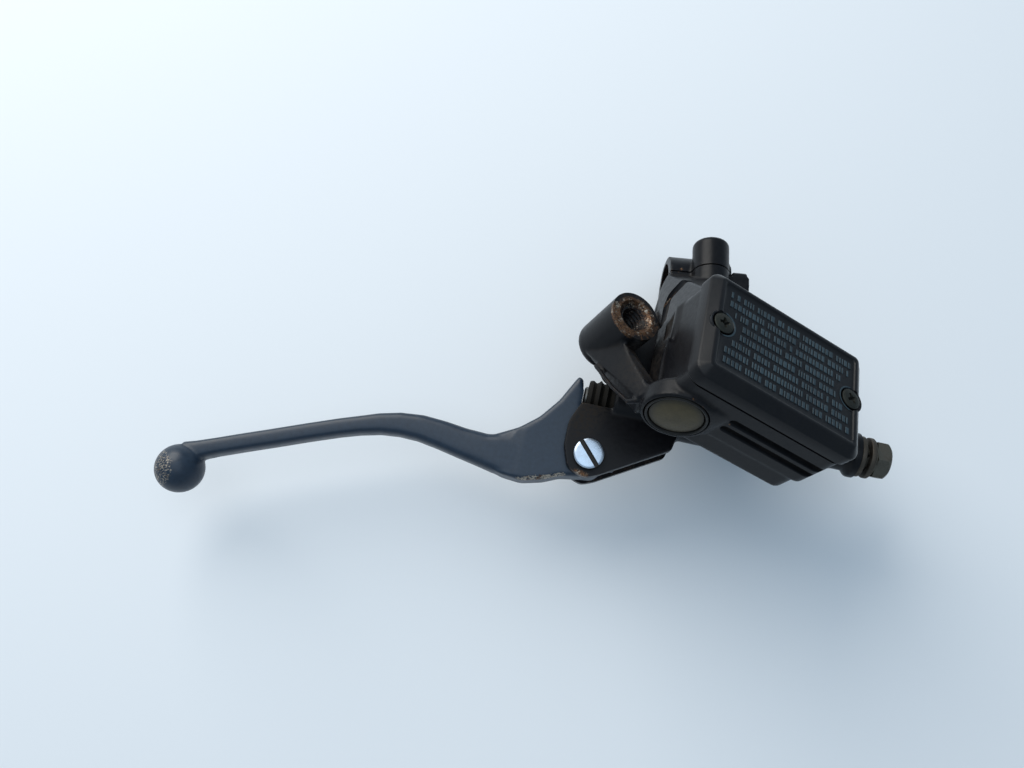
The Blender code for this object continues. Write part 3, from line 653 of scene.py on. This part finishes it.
def body_cutters():
    bore = turned(
        "bore",
        [(106.7, 0), (106.7, 6.2), (105.2, 5), (93, 5), (91, 1.6), (80.5, 1.6), (78, 7), (15.2, 7),
         (15.2, 8.3), (13.9, 8.3), (13.9, 9.3), (12.3, 9.3), (12.3, 8.3), (11.2, 8.3), (11.2, 10.4),
         (6.6, 10.4), (4, 11.6), (4, 0)],
        BORE,
    )
    web_ends = [
        ((-17.5, -1.5, 15), (-31, 24, -10)), ((-21.5, -15, 18), (-34.3, 19, -20.5)),
        ((-22.5, -24, 18), (-34.3, 3, -21)),
    ]
    web_middles = [(CLAMP @ (Vector(a) * MM) + TANK @ (Vector(b) * MM)) / (2 * MM) for a, b in web_ends]
    channel = bead("web_channel", Matrix.Identity(4), web_middles, 3.6)
    union_face = turned("union_face", [(112, 0), (112, 14), (UNION_FACE, 14), (UNION_FACE, 0)], BORE)
    cavity = stack(
        "cavity",
        [(box_outline(56, 35, 5), -30), (box_outline(60, 39, 6), -26.5), (box_outline(60, 39, 6), -3)],
        TANK,
    )
    boolean(cavity, [rod("pillar", -32, 0, 4.6, place, steps=32) for place in CAP_SCREWS])
    tank_rim = plate("tank_rim", box_outline(90, 70), -6.1, 0, TANK)
    slot_corners = [
        (-30, -30, 0), (40, -30, 0), (40, 12, 0), (32, 12, 0), (30, 11, 1), (16, 4.2, 1), (9.4, 4.2, 0.8),
        (9.4, 34, 0.8), (-30, 34, 0),
    ]
    slot = plate("slot", rounded(slot_corners, 4), -SLOT, SLOT, PIVOT)
    sight = turned(
        "sight",
        [(27, 0), (27, 12.1), (25.6, 12.1), (25, 11.5), (22.2, 11.5), (22.2, 6.8), (15, 6.8), (15, 0)],
        SIGHT,
    )
    middle = (11, 0)
    groove_layers = [
        (box_outline(40, 1.4, 0.69, middle), 21.4), (box_outline(41, 2.4, 1.19, middle), 22.2),
        (box_outline(41.4, 2.8, 1.39, middle), 23.2), (box_outline(43.4, 4.8, 2.39, middle), 24.2),
    ]
    grooves = []
    for height in (-13.3, -18.3):
        grooves.append(stack("groove", groove_layers, TANK @ shift(0, 0, height) @ turn(90, "X")))
    mirror_face = turned("mirror_face", [(6, 0), (6, 14), (0, 14), (0, 6.9), (-1.9, 5.1), (-1.9, 0)], MIRROR)
    beyond_parting = [Vector(p) for p in ((-0.3, -30), (30, -30), (30, 30), (-0.3, 30))]
    return [
        bore, union_face, tank_rim, cavity, slot, sight, mirror_face, *grooves, *channel,
        threaded("mirror_thread", -22, -1.2, 4.3, 1.0, 1.75, MIRROR),
        rod("well", 10.6, 36, 8.6, WELL),
        rod("inlet", 0, 14, 1.6, WELL @ shift(-5.5, 0, 0), steps=20),
        rod("compensating", 0, 14, 0.7, WELL @ shift(6.5, 0, 0), steps=12),
        *[rod("screw_hole", -19, -5, 2.2, place, steps=24) for place in CAP_SCREWS],
        rod("bar", -30, 30, BAR_RADIUS, ALONG_BAR, steps=96),
        plate("parting", beyond_parting, -25, 9.5, ACROSS_BAR),
        *[rod("clamp_hole", -12, 1, 3.25, place, steps=32) for place in BOLTS],
        rod("pivot_hole", -12, 12, 4, PIVOT, steps=40),
    ]


def body_wear(co):
    """Bare metal: the mirror boss's face, rim and thread, and the lug's corner by the lever."""
    local = MIRROR.inverted() @ co / MM
    across = math.hypot(local.x, local.y)
    chipped_side = max(0.0, -(local.x + local.y) / across) if across else 0.0
    reach = 9.3 + 0.9 * chipped_side
    rim = min(1.0, 1 + (local.z + 0.9) / 1.3, 3 * (reach - across)) if 6.7 < across else 0.0
    if across < 5.7 and -14 < local.z < -1.4:
        rim = 0.46
    lug = PIVOT.inverted() @ co / MM
    corner = 1.3 * (1 - math.hypot((lug.x + 2.5) / 7.5, (lug.y + 8.6) / 3)) if 8 < lug.z < 12 else 0.0
    return max(rim, corner)


def body_dirt(co):
    """Grime in the pocket between the mirror boss and the reservoir."""
    spot = TANK.inverted() @ co / MM
    pocket = 1 - math.hypot((spot.x + 38) / 9, (spot.y + 2) / 22) if spot.z < -25.5 else 0.0
    return max(0.0, min(1.0, pocket * 1.6))


def make_body(material):
    body = cast("cast_body", body_shapes(), VOXEL, 4)
    boolean(body, body_cutters())
    finish(body, material)
    paint_mask(body, "wear", body_wear)
    paint_mask(body, "dirt", body_dirt)
    stands_for(body, "body", "housing")


def make_holder(material, steel):
    band = plate("band", half_ring(16.4, 13.4, 1, -0.5), -HALF_CLAMP, 9.2, ACROSS_BAR)
    boss = [(14, 0), (14, 5.6), *arc_profile(12, 5.6, 2, 0, 90), (-0.5, 7.6), (-0.5, 0)]
    holder = cast("cast_holder", [band, *[turned("boss", boss, place) for place in BOLTS]], VOXEL, 3)
    beyond_parting = [Vector(p) for p in ((-30, -30), (0.3, -30), (0.3, 30), (-30, 30))]
    bolt_hole = [(15, 0), (15, 5.45), (7.5, 5.45), (7.5, 3.3), (-1, 3.3), (-1, 0)]
    cutters = [
        plate("parting", beyond_parting, -25, 25, ACROSS_BAR),
        rod("bar", -30, 30, BAR_RADIUS, ALONG_BAR, steps=96),
        *[turned("bolt_hole", bolt_hole, place) for place in BOLTS],
    ]
    boolean(holder, cutters)
    finish(holder, material)
    stands_for(holder, "holder", "housing")
    socket_bolt = [
        (13.6, 0), (13.6, 4.5), *arc_profile(13.2, 4.6, 0.4, 0, 90), (7.8, 5), (7.8, 2.95),
        (-9.8, 2.95), (-10.5, 2.3), (-10.5, 0),
    ]
    for node, place in zip(("clamp_bolt_upper", "clamp_bolt_lower"), BOLTS):
        bolt = turned("socket_" + node, socket_bolt, place)
        boolean(bolt, [plate("key", hexagon(5), 10.4, 15, place)])
        finish(bolt, steel)
        stands_for(bolt, node, "housing")


# --- Lid -----------------------------------------------------------------------------------------


def lid_layers():
    """From the ceiling inside, down the skirt, round its edge and up over the sloped border."""
    inside = box_outline(64.6, 41.6, 4.4)
    layers = [(inside, -0.2), (inside, -5.5), (box_outline(65.2, 42.2, 4.4), -5.8)]
    outside = [
        (0.9, -5.8), (0.3, -5.65), (0, -5.3), (0, -0.6), (0.25, -0.1), (0.7, 0.25), (3.2, 2.45),
        (3.6, 2.7), (4.1, 2.8), (4.7, 2.8), (5, 2.68), (5.15, 2.45), (5.3, 2.2), (5.6, 2.05),
    ]
    for inwards, height in outside:
        layers.append((box_outline(70 - 2 * inwards, 47 - 2 * inwards, max(1.2, 5.1 - inwards)), height))
    return layers


def lid_marks():
    """Rows of plain raised bars, which stand where a lid has its moulded notice."""
    pick = random.Random(7)
    rows, row_pitch, first_row, left, right = 8, 4.15, 14.6, -27, 27.5
    clear_of_screw = 7.4
    bars = []
    for row in range(rows):
        y = first_row - row_pitch * row
        x = left
        while x < right:
            width = pick.uniform(0.55, 1.6)
            middle = x + width / 2
            if math.hypot(abs(middle) - CAP_SCREW, y) > clear_of_screw:
                foot = box_outline(width, 2.7, 0.2, (middle, y), 1)
                top = box_outline(width - 0.2, 2.5, 0.12, (middle, y), 1)
                bars.append(stack("bar", [(foot, 1.9), (foot, 2.2), (top, 2.32)], TANK))
            x += width + (1.7 if pick.random() < 0.16 else 0.5)
    return bars


def raised(co):
    """The tops of the marks in the lid's panel."""
    spot = TANK.inverted() @ co / MM
    return 1.0 if spot.z > 2.15 and abs(spot.x) < 28 and abs(spot.y) < 16.2 else 0.0


def make_lid(material, screw_material):
    lid = stack("moulded_lid", lid_layers(), TANK)
    boolean(lid, [joined("marks", lid_marks())], "UNION")
    boolean(lid, [rod("seat", -2.6, 2.2, 5.2, place, steps=48) for place in CAP_SCREWS], "UNION")
    sink = [(4, 0), (4, 4.7), (2.2, 4.7), (1.9, 4.45), (0.1, 2.3), (-7, 2.3), (-7, 0)]
    boolean(lid, [turned("sink", sink, place) for place in CAP_SCREWS])
    finish(lid, material)
    paint_mask(lid, "raised", raised)
    stands_for(lid, "cap", "housing")
    countersunk = [
        (3.05, 0), (3.02, 1.4), (2.9, 2.6), (2.62, 3.7), (2.4, 3.95), (2.2, 3.9), (0.3, 1.85),
        (-16.4, 1.85), (-17, 1.2), (-17, 0),
    ]
    wing = [(box_outline(2.0, 0.75), 0.9), (box_outline(4.6, 1.15), 3.4)]
    for node, place, spin in zip(("cap_screw_outer", "cap_screw_inner"), CAP_SCREWS, (12, 35)):
        screw = turned("phillips_" + node, countersunk, place)
        cross = [stack("cross", wing, place @ turn(angle, "Z")) for angle in (spin, spin + 90)]
        cross.append(turned("cone", [(3.4, 0), (3.4, 1.3), (1.1, 0.5), (0.6, 0)], place, steps=24))
        boolean(screw, cross)
        finish(screw, screw_material)
        # Painted shade: black below 2.3 mm, deep in the cross and on the countersunk flank.
        paint_mask(screw, "dirt", lambda co: 1.0 if (TANK.inverted() @ co).z / MM < 2.3 else 0.0)
        stands_for(screw, node, "housing")


def lens_rim(co):
    """The window's darker edge."""
    from_middle = (SIGHT.inverted() @ co).xy.length / MM
    return max(0.0, min(1.0, (from_middle - 7.2) / 2.4))


def make_sight(lens_material, ring_material):
    dome = [(26.35 - 1.45 * (k / 9) ** 2.2, 9.5 * k / 9) for k in range(10)]
    lens = turned("sight_window", [*dome, (24.7, 9.6), (22.5, 9.6), (22.5, 0)], SIGHT, lens_material)
    paint_mask(lens, "dirt", lens_rim)
    stands_for(lens, "sight_lens", "housing")
    ring = turned(
        "sight_bezel",
        [(24.7, 9.95), (25.15, 10.05), *arc_profile(25.05, 10.6, 0.5, -60, 90, 6),
         (22.5, 11.2), (22.5, 9.95)],
        SIGHT, ring_material,
    )
    stands_for(ring, "sight_ring", "housing")


# --- Lever ---------------------------------------------------------------------------------------


def inset(outline, by, taper=0.0):
    """The anticlockwise outline moved inwards, its left end cut back by the taper as well."""
    moved = []
    for i, point in enumerate(outline):
        along = (outline[(i + 1) % len(outline)] - outline[i - 1]).normalized()
        spot = point + Vector((-along.y, along.x)) * by
        moved.append(Vector((max(spot.x, outline[0].x + taper), spot.y)))
    return moved


def lever_shapes():
    root = rounded(
        [(-38, -12.5, 0), (-32, -14.2, 12), (-24, -14.9, 8), (-15.5, -12.7, 8), (-9, -9.7, 4), (-3, -8.6, 4),
         (4.2, -7.6, 5), (8.4, -2.6, 1), (12, -2.6, 0.8), (12, 3.7, 0.8), (8.4, 3.7, 1), (6, 6.2, 4),
         (-1.2, 9, 4), (-4.6, 14.5, 4), (-6.4, 20, 4), (-6.6, 26, 4), (-7.5, 31, 2), (-9.4, 32.4, 1),
         (-10.8, 30, 2), (-15.5, 20.6, 6), (-21.8, 12.2, 8), (-28.8, 6.2, 10), (-38, 1.2, 0)],
        6,
    )
    rounding = [(1.7, 12, 6), (0.7, 7, 5.6), (0.2, 3, 5), (0, 0, 4.2)]
    layers = [(inset(root, depth, taper), height) for depth, taper, height in rounding]
    slab = stack("slab", [*((outline, -height) for outline, height in layers), *reversed(layers)], PIVOT)
    # middle x and y, half the width and half the thickness, from the root out to the ball
    stations = [
        (-24, -6, 8.5, 5.9), (-30, -6, 8.3, 5.9), (-36, -5.8, 7.7, 5.8), (-41, -5.7, 6.8, 5.7),
        (-50, -4.7, 6.1, 5.45), (-59, -3.3, 5.75, 5.3), (-68, -2.4, 5.3, 5.2), (-76.5, -2.8, 4.75, 5.1),
        (-84.5, -4.3, 4.15, 5), (-92.5, -6.8, 3.7, 4.9), (-100.5, -9.6, 3.6, 4.8), (-112, -14.1, 3.55, 4.8),
        (-124, -19, 3.55, 4.8), (-136, -23.8, 3.55, 4.8), (-146, -27.9, 3.55, 4.8),
        (-153, -30.9, 3.8, 4.8), (-158, -32.6, 3.9, 4.8),
    ]
    sections = []
    for i, (x, y, half_width, half_height) in enumerate(stations):
        before, after = stations[max(i - 1, 0)], stations[min(i + 1, len(stations) - 1)]
        along = Vector((after[0] - before[0], after[1] - before[1])).normalized()
        side = Vector((-along.y, along.x))
        squareness = min(1, 0.55 + 0.15 * i)
        ring = []
        for k in range(36):
            c, s = math.cos(math.pi * k / 18), math.sin(math.pi * k / 18)
            across = half_width * math.copysign(abs(c) ** (0.5 * squareness), c)
            height = half_height * math.copysign(abs(s) ** (0.62 * squareness), s)
            ring.append((x + side.x * across, y + side.y * across, height))
        sections.append(ring)
    bends = [math.pi * k / 24 for k in range(1, 24)]
    round_ball = [(LEVER_BALL * math.cos(a), LEVER_BALL * math.sin(a)) for a in bends]
    ball = turned("ball", [(LEVER_BALL, 0), *round_ball, (-LEVER_BALL, 0)], PIVOT @ shift(-158.3, -39.4, 0))
    return [slab, loft("blade", sections, PIVOT), ball]


def lever_wear(co):
    """Bare metal: the front edge by the pivot, the end of the rider's side horn and the ball."""
    local = PIVOT.inverted() @ co / MM
    edge = local.y + 14.9 - 0.33 * (local.x + 24)
    ends = min(local.x + 28, -5 - local.x) / 5
    rubbed = min(0.75, 1 - abs(edge) / 2.4, (local.z - 2.5) / 2.5, ends)
    tip = (3 - math.hypot(local.x + 8.5, local.y - 32.5)) / 3
    scuffed = 0.49 * min(1.0, (11 - math.hypot(local.x + 165, local.y + 42)) / 4)
    return max(0.0, min(1.0, max(rubbed, 0.8 * tip, scuffed)))


def make_lever(material, brass):
    lever = cast("cast_lever", lever_shapes(), VOXEL, 5)
    boolean(lever, [rod("pivot_hole", -8, 8, 5.35, PIVOT)])
    finish(lever, material)
    paint_mask(lever, "wear", lever_wear)
    stands_for(lever, "lever", "hand_lever")
    bush = turned("bearing_bush", [(6.1, 3.95), (6.1, 5.05), (-6.1, 5.05), (-6.1, 3.95)], PIVOT)
    finish(bevelled(bush, 0.15), brass)
    stands_for(bush, "pivot_bush", "hand_lever")


def make_pivot(zinc):
    profile = [
        (13.65, 0), (13.62, 3), (13.5, 4.8), *arc_profile(12.75, 5.3, 0.7, 20, 90), (11.4, 6),
        (11, 5.7), (10.9, 5.2), (10.9, 3.65), (-10, 3.65), (-10.7, 2.9), (-17.9, 2.9), (-18.5, 2.4),
        (-18.5, 0),
    ]
    bolt = turned("slotted_bolt", profile, PIVOT)
    boolean(bolt, [plate("slot", box_outline(14, 1.9), 12.1, 15, PIVOT @ turn(-48, "Z"))])
    finish(bolt, zinc)
    # Painted shade: black below 12.9 mm, on the slot's floor and the lower side of the head.
    paint_mask(bolt, "dirt", lambda co: 1.0 if (PIVOT.inverted() @ co).z / MM < 12.9 else 0.0)
    stands_for(bolt, "pivot_bolt", "housing")
    nut = plate("lock_nut", hexagon(10), -16.4, -11, PIVOT)
    crown = turned("crown", [(-16.4, 5.0), (-16.4, 8), (-14.9, 8), (-14.9, 5.95)], PIVOT, steps=48)
    boolean(nut, [rod("hole", -20, -5, 3.3, PIVOT), crown])
    finish(nut, zinc)
    stands_for(nut, "pivot_nut", "housing")


# --- Union, boot and spring ----------------------------------------------------------------------


def make_union(steel, copper):
    for node, low in (("washer_body_side", UNION_FACE + 0.3), ("washer_head_side", UNION_FACE + 4)):
        outer_edge = arc_profile(low + 1.6, 7.9, 0.4, 0, 90, 3)
        outer_edge += arc_profile(low + 0.4, 7.9, 0.4, 90, 180, 3)
        inner_edge = [(low, 5.5), (low + 0.2, 5.3), (low + 1.8, 5.3), (low + 2, 5.5)]
        washer = turned("crush_" + node, outer_edge + inner_edge, BORE, copper)
        stands_for(washer, node, "housing")
    place = BORE @ shift(0, 0, UNION_FACE + 6.3 - 17)
    shank = [(18, 0), (18, 7), (17.15, 7), (17, 6.85), (17, 4.7), (0.7, 4.7), (0, 4), (0, 0)]
    bolt = turned("hollow_bolt", shank, place)
    boolean(bolt, [plate("head", hexagon(14, 12), 17.6, 23.4, place)], "UNION")
    beyond_corners = [
        (24.5, 5.4), (24.5, 12), (19.5, 12), (19.5, 9.3), (21.4, 8.1), (22.7, 7.1), (23.4, 6.2),
    ]
    boolean(bolt, [
        turned("corners", beyond_corners, place),
        rod("passage", -1, 13, 2, place, steps=24),
        rod("cross_hole", -6, 6, 1.3, PIVOT @ shift(UNION_FACE + 3, BORE_OFFSET, 0), steps=20),
    ])
    finish(bolt, steel)
    stands_for(bolt, "union_bolt", "housing")


def make_boot(rubber):
    profile = [
        (10.8, 7.4), (10.8, 10.1), (6.6, 10.1), (6.2, 8), (5.4, 7.1), (4.6, 6.7), (3.8, 7.1), (3, 8),
        (2.2, 7.1), (1.4, 6.7), (0.6, 7.1), (-0.2, 8), (-1, 7), (-1.8, 6.5), (-2.6, 6.9), (-3.2, 7.3),
        (-4.1, 7.1), (-4.7, 6.7), (-4.7, 3.85), (-3.5, 3.85), (-3.4, 6), (-1.8, 5.5), (-0.2, 7.1),
        (1.4, 5.7), (3, 7.1), (4.6, 5.7), (6.4, 7.1),
    ]
    boot = turned("bellows_boot", profile, BORE, rubber)
    stands_for(boot, "dust_boot", "housing")
    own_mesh(boot)


def make_spring(steel):
    turns, flat_turns, steps_per_turn = 6.5, 0.9, 40
    wire, coil, low, length = 0.7, 4.9, 46.5, 30.4
    flat_rise = 0.11  # of the length, in each turn at the ends
    end_rise = flat_rise * flat_turns
    round_wire = [math.pi * j / 6 for j in range(12)]
    sections = []
    count = int(turns * steps_per_turn)
    for k in range(count + 1):
        wound = turns * k / count
        if wound < flat_turns:
            rise = wound * flat_rise
        elif wound > turns - flat_turns:
            rise = 1 - (turns - wound) * flat_rise
        else:
            rise = end_rise + (1 - 2 * end_rise) * (wound - flat_turns) / (turns - 2 * flat_turns)
        angle = 2 * math.pi * wound
        out = Vector((math.cos(angle), math.sin(angle), 0))
        centre = out * coil + Vector((0, 0, low + length * rise))
        ring = [centre + out * wire * math.cos(a) + Vector((0, 0, wire * math.sin(a))) for a in round_wire]
        sections.append(ring)
    spring = loft("piston_spring", sections, BORE, steel)
    stands_for(spring, "return_spring", "housing")
    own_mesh(spring)


def dress_cad_nodes(finishes):
    for node, material in finishes.items():
        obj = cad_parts[node]
        obj.data.materials.clear()
        obj.data.materials.append(material)


make_camera()
make_stage()
casting = painted("black_casting", (0.004, 0.004, 0.005), 0.34, 0.17)
# Black paint tinted blue: the tint is painted sheen of the blue sky on the lever's top.
lever_paint_and_sheen = painted(
    "black_lever", (0.01, 0.019, 0.033), 0.36, 0.4, dust=(0.03, 0.035, 0.04), grain=0.012, rusted=(0.5, 0.6)
)
lid_plastic = moulded("lid_plastic", (0.004, 0.004, 0.005), 0.33, 0.22)
soft_rubber = moulded("rubber", (0.006, 0.005, 0.004), 0.75, 0.2, dusting=0.2)
trim_plastic = moulded("trim_plastic", (0.007, 0.006, 0.005), 0.42, 0.25)
zinc = plated("zinc", (0.5, 0.58, 0.68), 0.26, amount=0.2)
dull_zinc = plated("dull_zinc", (0.04, 0.042, 0.036), 0.5, dull=(0.018, 0.017, 0.013), amount=0.9)
steel = plated("dark_steel", (0.12, 0.11, 0.09), 0.45, dull=(0.05, 0.042, 0.033), amount=0.8)
copper = plated("copper", (0.09, 0.075, 0.06), 0.5, dull=(0.04, 0.035, 0.028), amount=0.8)
alloy = plated("alloy", (0.22, 0.22, 0.21), 0.42, dull=(0.05, 0.045, 0.04), amount=0.8)
brass = plated("brass", (0.6, 0.42, 0.18), 0.35)
make_body(casting)
make_holder(casting, steel)
make_lid(lid_plastic, dull_zinc)
make_sight(lens_look(), trim_plastic)
make_lever(lever_paint_and_sheen, brass)
make_pivot(zinc)
make_union(steel, copper)
make_boot(soft_rubber)
make_spring(zinc)
dress_cad_nodes({
    "diaphragm_plate": trim_plastic, "diaphragm": soft_rubber, "port_baffle": trim_plastic, "piston": alloy,
    "primary_cup": soft_rubber, "secondary_cup": soft_rubber, "stop_washer": zinc, "circlip": steel,
})
